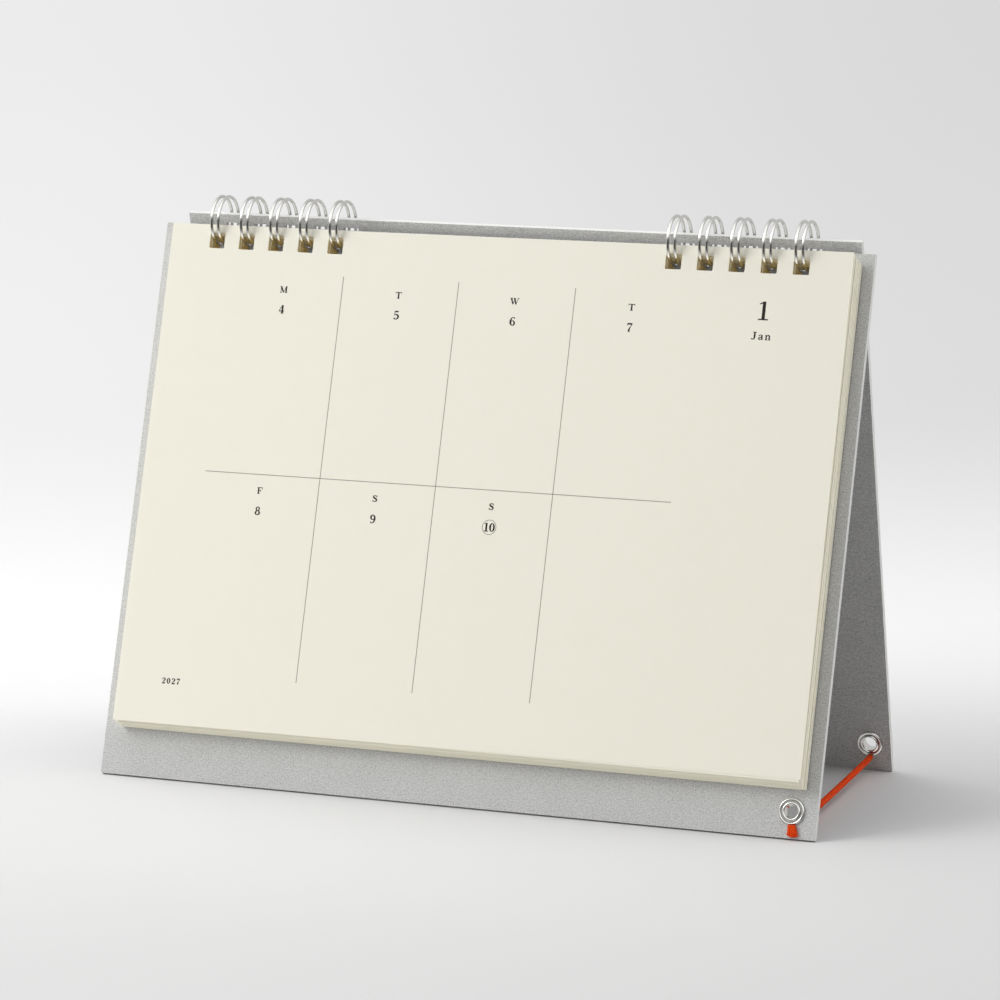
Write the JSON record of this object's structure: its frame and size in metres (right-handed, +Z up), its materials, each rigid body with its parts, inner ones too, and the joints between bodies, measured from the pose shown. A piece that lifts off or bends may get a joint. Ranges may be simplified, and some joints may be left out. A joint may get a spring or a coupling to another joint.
{
  "type": "desk calendar",
  "caption": "Desk calendar that stands as a tent: a pad of pages on twin-loop rings in front of a grey board, with a hinged back board held open by a cord.",
  "frame": {"origin": "on the floor, at the middle of the box of everything but the cord", "axes": "+X to the right along the width, +Y to the back board, +Z up"},
  "size_m": [0.1956, 0.0833, 0.1482],
  "materials": {
    "greyboard": "matt grey board",
    "pages": "uncoated cream paper",
    "binding_wire": "bright nickel wire",
    "eyelet_metal": "nickel plate",
    "cord": "orange braid"
  },
  "bodies": {
    "stand_front": {"front_board": "greyboard", "wire_left": "binding_wire", "wire_right": "binding_wire", "front_eyelet": "eyelet_metal", "front_eyelet_washer": "eyelet_metal", "cord": "cord", "cord_front_end": "cord"},
    "stand_back": {"back_board": "greyboard", "back_eyelet": "eyelet_metal", "back_eyelet_washer": "eyelet_metal", "cord_back_end": "cord"},
    "pages": {"page_pad": "pages"}
  },
  "joints": [
    {"name": "back_board_fold", "type": "hinge", "parent": "stand_front", "child": "stand_back", "pos_m": [0, 0.00285, 0.14152], "axis": [-1, 0, 0], "range_deg": [0, 29], "deforming": ["cord"]},
    {"name": "pages_turn", "type": "hinge", "parent": "stand_front", "child": "pages", "pos_m": [0, 0.00285, 0.14152], "axis": [-1, 0, 0], "range_deg": [0, 160]}
  ]
}
